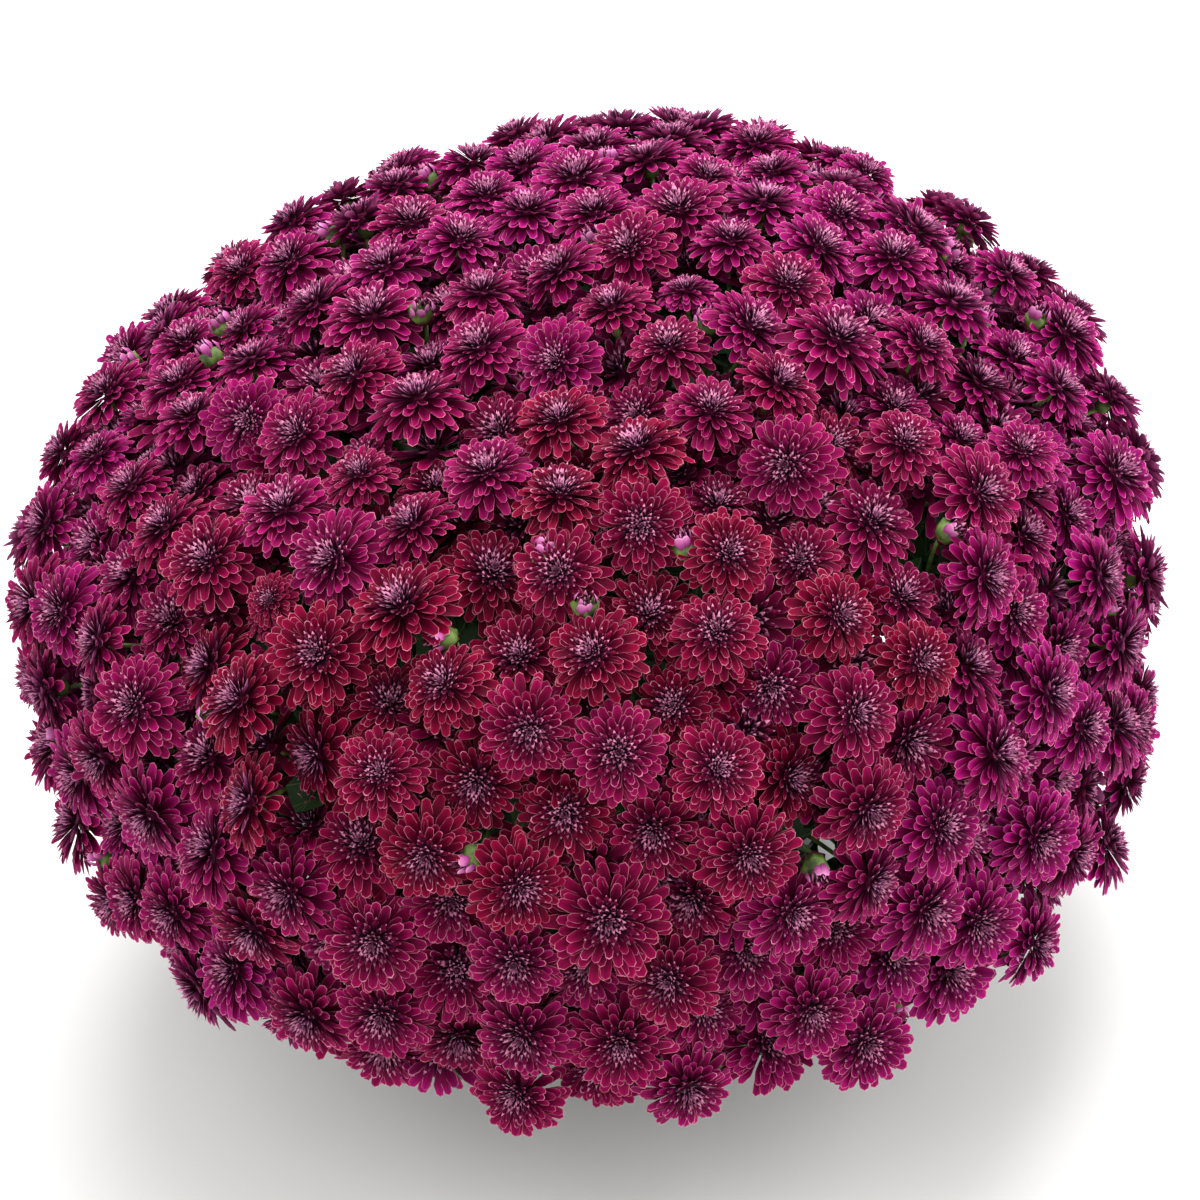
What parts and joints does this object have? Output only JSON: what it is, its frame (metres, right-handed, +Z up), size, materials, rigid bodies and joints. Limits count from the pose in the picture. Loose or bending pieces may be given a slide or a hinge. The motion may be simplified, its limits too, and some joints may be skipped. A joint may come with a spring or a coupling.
{
  "type": "pot chrysanthemum",
  "caption": "Bushy pot chrysanthemum, a wide dome of crimson double blooms on forked leafy stems, in a plain tapered nursery pot that stands on its flat base.",
  "frame": {"origin": "centre of the pot's flat base, on the surface that it stands on", "axes": "+Z up along the pot's axis; the side seen in the picture faces -Y, with +X to its right"},
  "size_m": [0.5614, 0.5692, 0.4393],
  "materials": {
    "petal": "matte",
    "leaf": "matte",
    "soil": "rough",
    "pot": "satin"
  },
  "bodies": {
    "root": {"pot": "pot", "soil": "soil", "leafy_stem_1": "leaf", "leafy_stem_2": "leaf", "leafy_stem_3": "leaf", "leafy_stem_4": "leaf", "leafy_stem_5": "leaf", "leafy_stem_6": "leaf", "leafy_stem_7": "leaf", "spray_01": "petal", "spray_02": "petal", "spray_03": "petal", "spray_04": "petal", "spray_05": "petal", "spray_06": "petal", "spray_07": "petal", "spray_08": "petal", "spray_09": "petal", "spray_10": "petal", "spray_11": "petal", "spray_12": "petal", "spray_13": "petal", "spray_14": "petal", "spray_15": "petal", "spray_16": "petal", "spray_17": "petal", "spray_18": "petal", "spray_19": "petal", "spray_20": "petal", "spray_21": "petal", "spray_22": "petal", "spray_23": "petal", "spray_24": "petal", "spray_25": "petal", "spray_26": "petal", "spray_27": "petal", "spray_28": "petal", "spray_29": "petal", "spray_30": "petal", "spray_31": "petal", "spray_32": "petal", "spray_33": "petal", "spray_34": "petal", "spray_35": "petal", "spray_36": "petal", "spray_37": "petal", "spray_38": "petal"}
  },
  "joints": []
}
